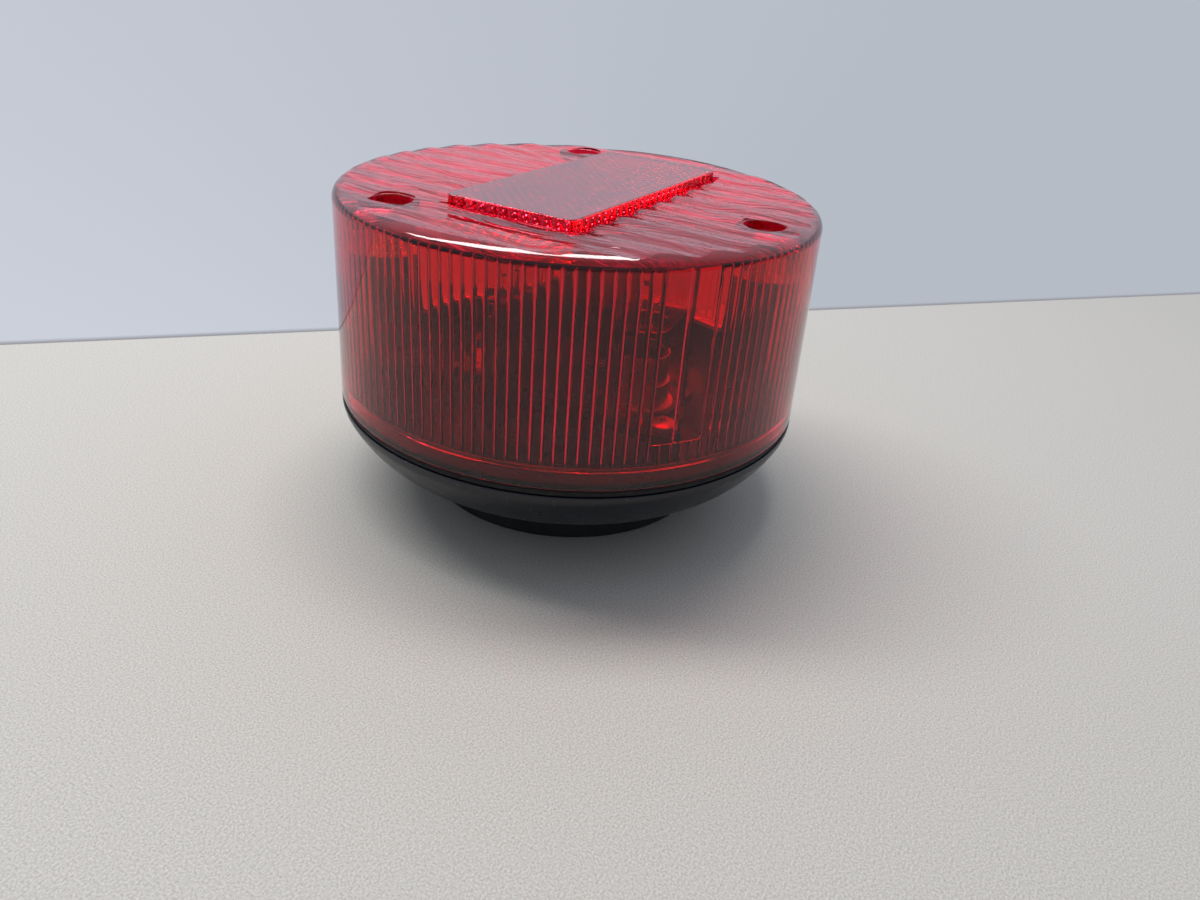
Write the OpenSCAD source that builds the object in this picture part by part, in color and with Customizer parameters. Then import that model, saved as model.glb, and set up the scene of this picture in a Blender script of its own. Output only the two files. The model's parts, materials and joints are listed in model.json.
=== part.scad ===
// Round motorcycle tail light: a fluted red lens with a reflex reflector, screwed to a black bowl
// that stands on a rubber foot. Millimetres, lens up, origin at the middle of the foot's underside.

/* [Lens] */
// Outer radius at the lower edge
lens_r = 60; // [58:0.5:64]
// How much smaller that radius is at the face
lens_draft = 1; // [0.5:0.25:1.5]
// Height from the lower edge to the wave crests of the face
lens_h = 51; // [50:0.5:60]
// Wall at the lower end, down to the troughs of the flutes
lens_wall = 2.7; // [2.5:0.1:3.2]
// Thickness of the face under the wave troughs
face_t = 2.4; // [2.2:0.1:3]
// Radius of the rounded edge round the face
edge_r = 3; // [1:0.5:3]
// Height of the waves on the face, trough to crest
wave_h = 1; // [0.4:0.1:1.2]
// Distance between wave crests
wave_pitch = 9.5; // [8:0.5:12]
// Number of upright flutes inside the wall
flute_count = 144; // [96:8:160]
// Depth of the flutes
flute_depth = 0.5; // [0.4:0.1:1]
// Plain margin between the crests and the upper end of the flutes
flute_top_margin = 5; // [4.5:0.5:8]
// Plain margin between the lower edge and the lower end of the flutes
flute_bottom_margin = 4.7; // [4.5:0.1:7]
// Direction of the smooth upright land in the flutes, in degrees
land_angle = 232; // [220:1:255]
// Width of the land along the wall
land_w = 9; // [5:0.5:12]
// How far the land stands in front of the flute ridges
land_proud = 0.4; // [0.2:0.1:0.8]

/* [Reflex reflector] */
// Length along X
reflector_l = 74; // [60:1:76]
// Width along Y
reflector_w = 33; // [26:1:34]
// Height above the wave crests
reflector_proud = 2; // [1:0.25:3]
// Depth of its seat below the wave crests
seat_depth = 2; // [1.4:0.1:2.2]
// Open groove round it in the seat
seat_groove = 0.9; // [0.5:0.1:1.5]
// Shift of its middle from the axis, along Y
reflector_y = -3.5; // [-6:0.5:3]
// Pitch of the prisms
prism_pitch = 2.8; // [2.4:0.2:4]
// Depth of the prisms
prism_depth = 0.9; // [0.4:0.1:1]

/* [Lens screws] */
// Distance of the three screws in from the lens's lower edge
screw_inset = 12; // [12:0.5:13.5]
// Thread radius
screw_r = 2; // [1.75:0.25:2.25]
// Head radius
screw_head_r = 3.6; // [3.2:0.1:3.8]
// Head height
screw_head_h = 2.4; // [2:0.1:2.8]
// Thickness of the sealing washer
washer_t = 1; // [0.6:0.1:1.4]
// Radius of the recess
recess_r = 4.9; // [4.4:0.1:5.1]
// Depth of the recess below the wave crests
recess_depth = 6.5; // [5.5:0.25:7.5]
// Wall of the boss round the recess
boss_wall = 1.7; // [1.3:0.1:1.8]
// Distance from the wave crests down to the tops of the posts
post_drop = 12; // [11.5:0.5:16]
// Radius of the posts
post_r = 5; // [4.6:0.1:5.2]
// Length of the threaded inserts in the posts
post_insert_l = 8; // [5:1:10]

/* [Base and foot] */
// Radius of the rubber foot
foot_r = 38; // [34:1:40]
// Thickness of the rubber foot
foot_h = 8.4; // [7:0.2:11]
// Height of the bowl from the foot to its rim
bowl_h = 17.2; // [16:0.4:20]
// Bulge of the bowl's side beyond a straight cone
bowl_bulge = 4; // [2:0.5:5]
// Height of the plain band at the rim
rim_band = 1.2; // [0.6:0.2:2]
// Thickness of the bowl's floor
floor_t = 3; // [2.4:0.2:3.4]
// Thickness of the locating lip inside the lens
lip_t = 2.4; // [1.6:0.2:2.8]
// Height of the lens gasket
gasket_h = 1.8; // [1.2:0.2:2.4]
// Distance between the two mounting bolts
bolt_spacing = 45; // [42:1:48]
// Radius of the tapped hole in a mounting insert, for an M6 thread
bolt_hole_r = 2.5; // [2:0.1:3]
// Length of the mounting inserts
bolt_insert_l = 10; // [7:0.5:12]
// Radius of the cable hole in the grommet
cable_r = 2.75; // [2:0.25:3.5]
// Radius of the grommet's neck
grommet_neck_r = 6.9; // [6:0.1:7.5]

/* [Lamp holders and bulbs] */
// Distance of each lamp holder from the axis
holder_y = 20.6; // [19.6:0.2:21.4]
// Height of the carrier above the bowl's floor
carrier_lift = 12.6; // [12:0.2:14]
// Thickness of the carrier
carrier_t = 2.5; // [2:0.1:3]
// Half the width of the carrier
carrier_half_w = 14; // [13.8:0.2:14.4]
// Distance of the carrier's two screws from the axis, along X
carrier_screw_x = 10; // [9:0.5:11]
// Distance of the carrier's two screws from the axis, along Y
carrier_screw_y = 33; // [32.5:0.25:33.5]
// Height of the light divider above the carrier
divider_h = 30.5; // [20:1:34]
// Thickness of the light divider
divider_t = 1.6; // [1.2:0.1:2]
// Radius of the bulb caps
cap_r = 7.5; // [7.2:0.1:7.6]
// Wall of the socket shells
shell_wall = 0.6; // [0.4:0.1:0.8]
// Length of the socket shells
shell_l = 20; // [19:0.5:21]
// Push travel of a bulb in its socket
bulb_travel = 2; // [1:0.25:2.25]
// Radius of the stop bulb's glass
stop_glass_r = 12.5; // [11:0.25:13]
// Length of the stop bulb from its foot contact to its tip
stop_bulb_l = 46; // [42:0.5:47]
// Radius of the tail bulb's glass
tail_glass_r = 9; // [8:0.25:10]
// Length of the tail bulb from its foot contact to its tip
tail_bulb_l = 36; // [34:0.5:40]

/* [Hidden] */
$fn = 96;
bite = 0.5;            // how far joined shapes of one piece reach into each other
seat_gap = 0.3;        // between pieces that lift apart
fit_gap = 0.05;        // radial, round fixed pins and inserts
slide_gap = 0.1;       // radial, round pieces that slide

SCREW_ANGLES = [30, 150, 270];
SIDES = [-1, 1];

// Levels from the table up
rim_z = foot_h + bowl_h;
floor_z = foot_h + floor_t;
lens_z = rim_z + gasket_h;
face_z = lens_z + lens_h;
ceiling_z = face_z - wave_h - face_t;
flute_top_z = face_z - flute_top_margin;
flute_bottom_z = lens_z + flute_bottom_margin;
seat_z = face_z - seat_depth;
recess_z = face_z - recess_depth;
post_z = face_z - post_drop;
carrier_z = floor_z + carrier_lift;
carrier_top = carrier_z + carrier_t;

// Lens
screw_circle_r = lens_r - screw_inset;
lens_top_r = lens_r - lens_draft;
valley_r = lens_r - lens_wall;
ridge_r = valley_r - flute_depth;
spigot_r = valley_r + 0.2;
spigot_h = flute_bottom_margin - 0.7;
land_drop = 4.9;       // the land starts this far above the lower end of the flutes
boss_r = recess_r + boss_wall;
wave_steps = 6;        // straight strips in one wave
arc_steps = 6;         // straight steps in a rounded edge

// Base
lip_r = spigot_r - seat_gap;
lip_inner_r = lip_r - lip_t;
lip_top_z = lens_z + spigot_h - 0.8;
rib_t = 2;
post_insert_r = screw_r + 1;
pillar_r = 4.2;
insert_relief = 4;     // clearance drilled under an insert for the screw's end
carrier_screw_r = 1.9;
carrier_screw_l = 8;   // below the carrier
carrier_head_r = 3.5;
carrier_head_h = 2.2;
bolt_insert_r = bolt_hole_r + 2;
bolt_boss_r = bolt_insert_r + 3;
bolt_boss_cap = 2;     // closed end over a mounting insert
clear_bolt_r = bolt_hole_r + 0.9;
grommet_hole_r = grommet_neck_r + slide_gap;
grommet_flange_r = grommet_neck_r + 2.1;
grommet_flange_h = 1.6;
spigot_ring_r = grommet_hole_r + 4;
spigot_ring_h = 2;

// Lamp holders, from the shell's lower end up
shell_gap = 2.1;       // bowl floor to shell
shell_z = floor_z + shell_gap;
shell_bore_r = cap_r + slide_gap;
shell_r = shell_bore_r + shell_wall;
shell_lip_h = 0.5;
shell_lip_r = shell_bore_r - 1.6;
block_z = shell_z + shell_lip_h;
block_h = 9;
block_r = shell_bore_r - fit_gap;
block_floor = 1;
block_lip = 1;
strip_t = 0.8;
strip_w = 6.3;
strip_top = shell_z - 0.1;
rivet_head_h = 0.4;
plunger_bore_r = 3.2;
plunger_r = 2.2;
collar_h = 1.2;
collar_z = block_z + block_h - block_lip - 0.9 - collar_h;
contact_z = block_z + block_h + 1.5;
foot_contact_h = 1.2;
cap_z = contact_z + foot_contact_h;
cap_l = 15.3;
cap_wall = 0.4;
pin_r = 1;
pin_z = contact_z + 7;
pin_reach = cap_r + 1.4;
slot_half_w = pin_r + 0.2;
slot_turn = 26;        // from the hook round to the entry, in degrees
flange_t = 1;
ear_x = carrier_half_w - 3;
ear_r = 2.5;
socket_rivet_r = 1.2;
flange_r = ear_x - socket_rivet_r - 2 * slide_gap;
strap_t = 0.6;
strap_w = 4.6;
blade_y = 5;           // near edge of the strap's blade, along Y
blade_drop = 7;        // reach of that blade below the carrier
terminal_drop = 4.5;   // tips of the terminals below the carrier
blade_hole_inset = 2;  // from the tip of each blade
blade_hole_r = 0.9;
carrier_rib_h = 4;
bulb_base_h = 2;
glass_wall = 0.7;
glass_neck_r = cap_r - cap_wall - 0.2;
glass_z = cap_z + 4.3;
filament_half_l = 3.6;
wire_r = 0.35;
spring_wire_r = 0.25;
spring_r = plunger_bore_r - spring_wire_r - 0.35;
spring_turns = 4;
spring_steps = 14;     // rings in one turn

RED = [0.72, 0.04, 0.07];
BLACK = [0.09, 0.09, 0.10];
RUBBER = [0.05, 0.05, 0.06];
STEEL = [0.75, 0.76, 0.78];
BRASS = [0.80, 0.66, 0.34];
PHENOLIC = [0.32, 0.17, 0.09];
GLASS = [0.85, 0.90, 0.92, 0.5];

// Places that repeat
module at_screws() {
    for (a = SCREW_ANGLES)
        rotate([0, 0, a]) translate([screw_circle_r, 0, 0]) children();
}

module at_bolts() {
    for (s = SIDES) translate([s * bolt_spacing / 2, 0, 0]) children();
}

module at_carrier_screws() {
    for (s = SIDES) translate([s * carrier_screw_x, s * carrier_screw_y, 0]) children();
}

module at_stop() {
    translate([0, -holder_y, 0]) children();
}

module at_tail() {
    translate([0, holder_y, 0]) children();
}

// A solid or a ring turned on the Z axis between two levels
module disc(r, z0, z1) {
    translate([0, 0, z0]) cylinder(r = r, h = z1 - z0);
}

module ring(r_in, r_out, z0, z1) {
    rotate_extrude() translate([r_in, z0]) square([r_out - r_in, z1 - z0]);
}

module box(x0, x1, y0, y1, z0, z1) {
    translate([x0, y0, z0]) cube([x1 - x0, y1 - y0, z1 - z0]);
}

// Lens
function wave_z(x) = face_z - wave_h / 2 + wave_h / 2 * cos(360 * x / wave_pitch);

module lens_outline() {
    arc = [for (i = [0 : arc_steps]) let (a = 90 * i / arc_steps)
        [lens_top_r - edge_r + edge_r * cos(a), face_z - edge_r + edge_r * sin(a)]];
    rotate_extrude() polygon(concat([[0, lens_z], [lens_r, lens_z]], arc, [[0, face_z]]));
}

module wave_block() {
    n = ceil((lens_r + 2) / wave_pitch) * wave_steps;
    step = wave_pitch / wave_steps;
    crest_line = [for (i = [n : -1 : -n]) [i * step, wave_z(i * step)]];
    rotate([90, 0, 0]) linear_extrude(2 * lens_r + 4, center = true)
        polygon(concat([[-n * step, lens_z - 2], [n * step, lens_z - 2]], crest_line));
}

// Four points to a flute: trough, flank, ridge, flank
module flute_section() {
    depth_of = [0, 0.62, 1, 0.62];
    polygon([for (i = [0 : 4 * flute_count - 1])
        let (a = 90 * i / flute_count, r = valley_r - flute_depth * depth_of[i % 4])
        [r * cos(a), r * sin(a)]]);
}

module lens_hollow() {
    disc(spigot_r, lens_z - 1, lens_z + spigot_h);
    disc(ridge_r + flute_depth / 2, lens_z, flute_bottom_z + 0.2);
    translate([0, 0, flute_bottom_z]) linear_extrude(flute_top_z - flute_bottom_z) flute_section();
    translate([0, 0, flute_top_z - bite])
        cylinder(r1 = ridge_r, r2 = ridge_r - 1.4, h = ceiling_z - flute_top_z + bite);
}

module flute_land() {
    turn = land_w / ridge_r * 180 / PI;
    rotate([0, 0, land_angle - turn / 2]) translate([0, 0, flute_bottom_z + land_drop])
        rotate_extrude(angle = turn) translate([ridge_r - land_proud, 0])
            square([land_proud + flute_depth + bite, flute_top_z - flute_bottom_z - land_drop + bite]);
}

module reflector_seat() {
    l = reflector_l + 2 * seat_groove;
    w = reflector_w + 2 * seat_groove;
    box(-l / 2, l / 2, reflector_y - w / 2, reflector_y + w / 2, seat_z, face_z + 1);
}

module lens() {
    color(RED) difference() {
        union() {
            difference() {
                intersection() {
                    lens_outline();
                    wave_block();
                }
                lens_hollow();
            }
            at_screws() disc(boss_r, post_z + seat_gap, ceiling_z + bite);
            flute_land();
        }
        at_screws() {
            disc(recess_r, recess_z, face_z + 1);
            disc(screw_r + seat_gap, post_z, recess_z + 1);
        }
        reflector_seat();
    }
}

// Teeth along one side, from a to b, cut towards the inside
function toothed_side(a, b, n) =
    let (d = (b - a) / n, inward = [-d[1], d[0]] / norm(d))
    [for (i = [0 : n - 1]) each [a + d * i, a + d * (i + 0.5) + inward * prism_depth]];

module toothed_outline() {
    x = reflector_l / 2;
    y = reflector_w / 2;
    nx = round(reflector_l / prism_pitch);
    ny = round(reflector_w / prism_pitch);
    polygon(concat(
        toothed_side([-x, -y], [x, -y], nx), toothed_side([x, -y], [x, y], ny),
        toothed_side([x, y], [-x, y], nx), toothed_side([-x, y], [-x, -y], ny)));
}

// Grooves across the underside, both ways, that leave pyramids inside a plain border
module prism_grooves() {
    half = [reflector_l / 2 - prism_pitch, reflector_w / 2 - prism_pitch];
    tip = 0.1;
    for (k = [0, 1]) {
        n = round(2 * half[k] / prism_pitch);
        step = 2 * half[k] / n;
        teeth = [for (i = [0 : n - 1])
            each [[step * i - half[k], tip], [step * (i + 0.5) - half[k], prism_depth]]];
        rotate([90, 0, 90 * k]) linear_extrude(2 * half[1 - k], center = true)
            polygon(concat([[-half[k], -1]], teeth, [[half[k], tip], [half[k], -1]]));
    }
}

module reflex_reflector() {
    skin = 1.2;
    top_z = face_z + reflector_proud;
    color(RED) translate([0, reflector_y, 0]) {
        translate([0, 0, seat_z]) difference() {
            linear_extrude(top_z - skin - seat_z) toothed_outline();
            prism_grooves();
        }
        box(-reflector_l / 2, reflector_l / 2, -reflector_w / 2, reflector_w / 2, top_z - skin, top_z);
    }
}

// Cross recess in a screw head whose top is at z
module cross_cut(z) {
    for (a = [0, 90]) rotate([0, 0, a]) box(-2, 2, -0.4, 0.4, z - 1.3, z + 1);
}

module lens_screws() {
    seat = recess_z + washer_t;
    color(STEEL) at_screws() difference() {
        union() {
            disc(screw_head_r, seat, seat + screw_head_h);
            disc(screw_r, post_z - post_insert_l, seat + bite);
        }
        cross_cut(seat + screw_head_h);
    }
}

module screw_washers() {
    color(RUBBER) at_screws() ring(screw_r + fit_gap, screw_head_r + 0.6, recess_z, recess_z + washer_t);
}

module lens_gasket() {
    color(RUBBER) ring(lip_r + fit_gap, lens_r, rim_z, lens_z);
}

// Base
function bowl_curve(a, b) =
    let (d = b - a, out = [d[1], -d[0]] / norm(d))
    [for (i = [0 : 10]) let (t = i / 10) a + d * t + out * bowl_bulge * 4 * t * (1 - t)];

module bowl_shell() {
    outer = bowl_curve([foot_r, foot_h], [lens_r, rim_z - rim_band]);
    inner = bowl_curve([foot_r - 1, floor_z], [lip_inner_r, rim_z - rim_band]);
    rotate_extrude() polygon(concat(
        [[0, foot_h]], outer,
        [[lens_r, rim_z], [lip_r, rim_z], [lip_r, lip_top_z], [lip_inner_r, lip_top_z]],
        [for (i = [10 : -1 : 0]) inner[i]], [[0, floor_z]]));
}

// Space that the base's posts and bosses may fill, down into the middle of the bowl's wall
module bowl_room() {
    low = bowl_curve([foot_r - bite, foot_h + floor_t / 2], [lens_r - lens_wall, rim_z - rim_band]);
    edge = lip_inner_r + bite;
    rotate_extrude() polygon(concat(
        [[0, foot_h + floor_t / 2]], [for (p = low) if (p[0] < edge) p],
        [[edge, rim_z - rim_band], [edge, face_z], [0, face_z]]));
}

module base_housing() {
    bolt_boss_z = foot_h + bolt_insert_l + bolt_boss_cap;
    color(BLACK) difference() {
        union() {
            bowl_shell();
            intersection() {
                union() {
                    at_screws() {
                        disc(post_r, 0, post_z);
                        box(0, lens_r - screw_circle_r, -rib_t / 2, rib_t / 2, 0, rim_z);
                    }
                    at_carrier_screws() disc(pillar_r, 0, carrier_z);
                    at_bolts() disc(bolt_boss_r, 0, bolt_boss_z);
                }
                bowl_room();
            }
            disc(spigot_ring_r, foot_h - spigot_ring_h, foot_h + bite);
        }
        at_screws() {
            disc(post_insert_r + fit_gap, post_z - post_insert_l, post_z + 1);
            disc(screw_r + seat_gap, post_z - post_insert_l - insert_relief, post_z);
        }
        at_carrier_screws()
            disc(carrier_screw_r + fit_gap, carrier_z - carrier_screw_l - 1, carrier_z + 1);
        at_bolts() disc(bolt_insert_r + fit_gap, foot_h - 1, foot_h + bolt_insert_l);
        disc(grommet_hole_r, 0, floor_z + 1);
    }
}

module post_inserts() {
    color(BRASS) at_screws()
        ring(screw_r + fit_gap, post_insert_r, post_z - post_insert_l, post_z);
}

module mounting_inserts() {
    color(BRASS) at_bolts() ring(bolt_hole_r, bolt_insert_r, foot_h, foot_h + bolt_insert_l);
}

module mounting_pad() {
    color(RUBBER) difference() {
        disc(foot_r, 0, foot_h);
        disc(grommet_flange_r + 0.6, -1, foot_h + 1);
        disc(spigot_ring_r + slide_gap, foot_h - spigot_ring_h - 0.2, foot_h + 1);
        at_bolts() disc(clear_bolt_r, -1, foot_h + 1);
        for (r = [foot_r - 5, foot_r - 9]) ring(r, r + 1.6, -1, 0.8);
    }
}

module cable_grommet() {
    low_z = foot_h - spigot_ring_h;
    color(RUBBER) difference() {
        union() {
            disc(grommet_neck_r, low_z - bite, floor_z + bite);
            disc(grommet_flange_r, low_z - grommet_flange_h, low_z);
            disc(grommet_flange_r, floor_z, floor_z + grommet_flange_h);
        }
        disc(cable_r, 0, rim_z);
    }
}

// Lamp holders
module lamp_carrier() {
    leg = divider_leg();
    pad_r = pillar_r + 1;
    color(BLACK) difference() {
        union() {
            translate([0, 0, carrier_z]) linear_extrude(carrier_t) {
                square([2 * carrier_half_w, 2 * (holder_y + flange_r + 0.6)], center = true);
                for (s = SIDES) translate([s * carrier_screw_x, s * carrier_screw_y]) {
                    circle(pad_r);
                    translate([0, -s * pad_r]) square(2 * pad_r, center = true);
                }
            }
            for (s = SIDES) box(s * ear_x - rib_t / 2, s * ear_x + rib_t / 2,
                -holder_y / 2, holder_y / 2, carrier_z - carrier_rib_h, carrier_z + bite);
        }
        for (s = SIDES) translate([0, s * holder_y, 0]) {
            disc(shell_r + fit_gap, carrier_z - 1, carrier_top + 1);
            for (e = SIDES) translate([e * ear_x, 0, 0])
                disc(socket_rivet_r + fit_gap, carrier_z - 1, carrier_top + 1);
        }
        at_carrier_screws() disc(carrier_screw_r + slide_gap, carrier_z - 1, carrier_top + 1);
        for (s = SIDES) box(min(s * leg[0], s * leg[1]) - fit_gap, max(s * leg[0], s * leg[1]) + fit_gap,
            -divider_t / 2 - fit_gap, divider_t / 2 + fit_gap, carrier_z - 1, carrier_top + 1);
    }
}

module carrier_screws() {
    color(STEEL) at_carrier_screws() difference() {
        union() {
            disc(carrier_head_r, carrier_top, carrier_top + carrier_head_h);
            disc(carrier_screw_r, carrier_z - carrier_screw_l, carrier_top + bite);
        }
        cross_cut(carrier_top + carrier_head_h);
    }
}

// Near and far edge of a divider leg, from the axis
function divider_leg() = [3, 7];

module divider_plate() {
    leg = divider_leg();
    half_l = screw_circle_r - post_r - 6;
    corner = 6;
    color(BLACK) rotate([90, 0, 0]) linear_extrude(divider_t, center = true) difference() {
        union() {
            translate([-half_l, carrier_top]) square([2 * half_l, divider_h - corner]);
            translate([-half_l + corner, carrier_top]) square([2 * (half_l - corner), divider_h]);
            for (s = SIDES) translate([s * (half_l - corner), carrier_top + divider_h - corner])
                circle(corner);
            for (s = SIDES) translate([s * (leg[0] + leg[1]) / 2, carrier_top - carrier_t / 2])
                square([leg[1] - leg[0], carrier_t + 1], center = true);
        }
        translate([ear_x - strap_w / 2 - 0.4, carrier_top - 1])
            square([strap_w + 0.8, flange_t + strap_t + 1.5]);
    }
}

// Hole through a blade, at a distance below the carrier
module blade_hole(drop) {
    translate([0, 0, carrier_z - drop]) rotate([0, 90, 0]) cylinder(r = blade_hole_r, h = lens_r);
}

// Brass strap that earths both shells, with a blade bent down over the carrier's edge
module earth_strap() {
    z = carrier_top + flange_t;
    blade_x = carrier_half_w + seat_gap;
    color(BRASS) difference() {
        union() {
            box(ear_x - strap_w / 2, ear_x + strap_w / 2, -holder_y - 2.3, holder_y + 2.3, z, z + strap_t);
            translate([0, blade_y, 0]) {
                box(ear_x, blade_x + strip_t, 0, strip_w, z, z + strap_t);
                box(blade_x, blade_x + strip_t, 0, strip_w, carrier_z - blade_drop, z + strap_t);
            }
        }
        for (s = SIDES) translate([ear_x, s * holder_y, 0]) disc(socket_rivet_r + fit_gap, z - 1, z + 2);
        translate([0, blade_y + strip_w / 2, 0]) blade_hole(blade_drop - blade_hole_inset);
    }
}

module socket_rivets() {
    color(STEEL) for (s = SIDES) for (e = SIDES) translate([e * ear_x, s * holder_y, 0]) {
        top = carrier_top + flange_t + (e > 0 ? strap_t : 0);
        disc(socket_rivet_r, carrier_z - bite, top + bite);
        disc(socket_rivet_r + 0.9, carrier_z - 0.8, carrier_z);
        disc(socket_rivet_r + 0.9, top, top + 0.8);
    }
}

// Bayonet shell. Each pin goes down the entry, round the turn and up into the hook.
module socket() {
    shell_top = shell_z + shell_l;
    slot_low = pin_z - bulb_travel - pin_r - 0.3;
    slot_high = pin_z + slot_half_w - bulb_travel;
    slot_mid = (slot_low + slot_high) / 2;
    slot_end = asin((pin_r + 0.12) / shell_r);
    color(STEEL) difference() {
        union() {
            rotate([0, 0, 90]) rotate_extrude() polygon([
                [shell_lip_r, shell_z], [shell_r, shell_z], [shell_r, carrier_top],
                [flange_r, carrier_top], [flange_r, carrier_top + flange_t],
                [shell_r, carrier_top + flange_t], [shell_r, shell_top], [shell_bore_r, shell_top],
                [shell_bore_r, shell_z + shell_lip_h], [shell_lip_r, shell_z + shell_lip_h]]);
            translate([0, 0, carrier_top]) linear_extrude(flange_t) difference() {
                for (e = SIDES) translate([e * ear_x, 0]) {
                    translate([-e * ear_r, 0]) square(2 * ear_r, center = true);
                    circle(ear_r);
                }
                circle(shell_bore_r + shell_wall / 2);
                for (e = SIDES) translate([e * ear_x, 0]) circle(socket_rivet_r + fit_gap);
            }
        }
        box(-shell_r - 1, shell_r + 1, -slot_half_w, slot_half_w, slot_mid, pin_z + pin_r + 0.1);
        rotate([0, 0, slot_turn])
            box(-shell_r - 1, shell_r + 1, -slot_half_w, slot_half_w, slot_mid, shell_top + 1);
        for (a = [0, 180]) rotate([0, 0, a - slot_end]) translate([0, 0, slot_low])
            rotate_extrude(angle = slot_turn + 2 * slot_end) translate([shell_bore_r - 1, 0])
                square([shell_wall + 2, slot_high - slot_low]);
    }
}

module contact_block() {
    color(PHENOLIC) difference() {
        union() {
            disc(block_r, block_z, block_z + block_h);
            disc(shell_lip_r - fit_gap, strip_top, block_z + bite);
        }
        disc(plunger_bore_r, block_z + block_floor, block_z + block_h - block_lip);
        disc(plunger_r + slide_gap, block_z + block_floor, block_z + block_h + 1);
        disc(1.4 + fit_gap, strip_top - 1, block_z + block_floor + 1);
    }
}

module plunger() {
    color(BRASS) {
        disc(plunger_bore_r - slide_gap, collar_z, collar_z + collar_h);
        disc(plunger_r, collar_z + collar_h - bite, contact_z);
    }
}

function spring_ring(p, a) = [for (k = [0 : 5]) let (c = 60 * k)
    p + spring_wire_r * [cos(c) * cos(a), cos(c) * sin(a), sin(c)]];

module contact_spring() {
    low = block_z + block_floor + rivet_head_h + spring_wire_r;
    rise = collar_z - spring_wire_r - low;
    n = spring_turns * spring_steps;
    points = [for (i = [0 : n]) let (a = 360 * i / spring_steps)
        each spring_ring([spring_r * cos(a), spring_r * sin(a), low + rise * i / n], a)];
    sides = [for (i = [0 : n - 1]) for (k = [0 : 5])
        let (p = 6 * i + k, q = 6 * i + (k + 1) % 6) each [[p, p + 6, q], [q, p + 6, q + 6]]];
    caps = concat([for (k = [1 : 4]) [0, k, k + 1]],
        [for (k = [1 : 4]) [6 * n, 6 * n + k + 1, 6 * n + k]]);
    color(STEEL) polyhedron(points, concat(sides, caps));
}

// Brass blade riveted through the contact block, the spring's lower seat
module terminal() {
    low = strip_top - strip_t;
    reach = carrier_half_w - 1;
    color(BRASS) difference() {
        union() {
            box(-strip_w / 2, reach, -strip_w / 2, strip_w / 2, low, strip_top);
            box(reach - strip_t, reach, -strip_w / 2, strip_w / 2, low, carrier_z - terminal_drop);
            disc(1.4, strip_top - bite, block_z + block_floor + bite / 2);
            disc(2.4, block_z + block_floor, block_z + block_floor + rivet_head_h);
        }
        blade_hole(terminal_drop + blade_hole_inset);
    }
}

// Bulbs
module bulb_cap() {
    color(STEEL) {
        ring(cap_r - cap_wall, cap_r, cap_z, cap_z + cap_l);
        for (a = [0, 180]) rotate([0, 0, a]) translate([cap_r - cap_wall / 2, 0, pin_z])
            rotate([0, 90, 0]) cylinder(r = pin_r, h = pin_reach - cap_r + cap_wall / 2);
    }
}

module bulb_base() {
    color(BLACK) disc(cap_r - cap_wall - fit_gap, cap_z, cap_z + bulb_base_h);
}

// The foot contact dips into the mouth of the contact block when the bulb is pushed
module bulb_contact() {
    color(STEEL) disc(plunger_r - slide_gap, contact_z, cap_z);
}

// Outline of the glass at a distance inside its outer surface
function glass_outline(r, tip_z, inset) =
    let (mid_z = tip_z - r, low = acos((glass_neck_r + 0.6) / r))
    concat([[0, glass_z + inset], [glass_neck_r - inset, glass_z + inset]],
        [[glass_neck_r - inset, mid_z - r * sin(low) - 1.2]],
        [for (i = [0 : 14]) let (a = -low + (90 + low) * i / 14)
            [(r - inset) * cos(a), mid_z + (r - inset) * sin(a)]]);

module bulb_glass(r, tip_z) {
    pinch_z = tip_z - r - 11.5 * r / stop_glass_r;
    color(GLASS) {
        difference() {
            rotate_extrude() polygon(glass_outline(r, tip_z, 0));
            rotate_extrude() polygon(glass_outline(r, tip_z, glass_wall));
        }
        disc(3, glass_z + glass_wall / 2, pinch_z - 1);
        box(-filament_half_l - 1, filament_half_l + 1, -1.3, 1.3, pinch_z - 3, pinch_z);
    }
}

module bulb_leads(r, tip_z) {
    pinch_z = tip_z - r - 11.5 * r / stop_glass_r;
    color(STEEL) for (s = SIDES) translate([s * filament_half_l, 0, 0])
        disc(wire_r, pinch_z, tip_z - r - 0.45);
}

module bulb_filament(r, tip_z) {
    color(STEEL) translate([-filament_half_l - wire_r, 0, tip_z - r]) rotate([0, 90, 0])
        cylinder(r = 0.45, h = 2 * (filament_half_l + wire_r));
}

stop_tip_z = contact_z + stop_bulb_l;
tail_tip_z = contact_z + tail_bulb_l;

lens();
reflex_reflector();
lens_screws();
screw_washers();
lens_gasket();
base_housing();
post_inserts();
mounting_inserts();
mounting_pad();
cable_grommet();
lamp_carrier();
carrier_screws();
divider_plate();
earth_strap();
socket_rivets();
at_stop() socket();  // stop_socket
at_stop() contact_block();  // stop_contact_block
at_stop() plunger();  // stop_plunger
at_stop() contact_spring();  // stop_spring
at_stop() terminal();  // stop_terminal
at_tail() socket();  // tail_socket
at_tail() contact_block();  // tail_contact_block
at_tail() plunger();  // tail_plunger
at_tail() contact_spring();  // tail_spring
at_tail() terminal();  // tail_terminal
at_stop() bulb_cap();  // stop_bulb_cap
at_stop() bulb_base();  // stop_bulb_base
at_stop() bulb_contact();  // stop_bulb_contact
at_stop() bulb_glass(stop_glass_r, stop_tip_z);  // stop_bulb_glass
at_stop() bulb_leads(stop_glass_r, stop_tip_z);  // stop_bulb_leads
at_stop() bulb_filament(stop_glass_r, stop_tip_z);  // stop_bulb_filament
at_tail() bulb_cap();  // tail_bulb_cap
at_tail() bulb_base();  // tail_bulb_base
at_tail() bulb_contact();  // tail_bulb_contact
at_tail() bulb_glass(tail_glass_r, tail_tip_z);  // tail_bulb_glass
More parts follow.
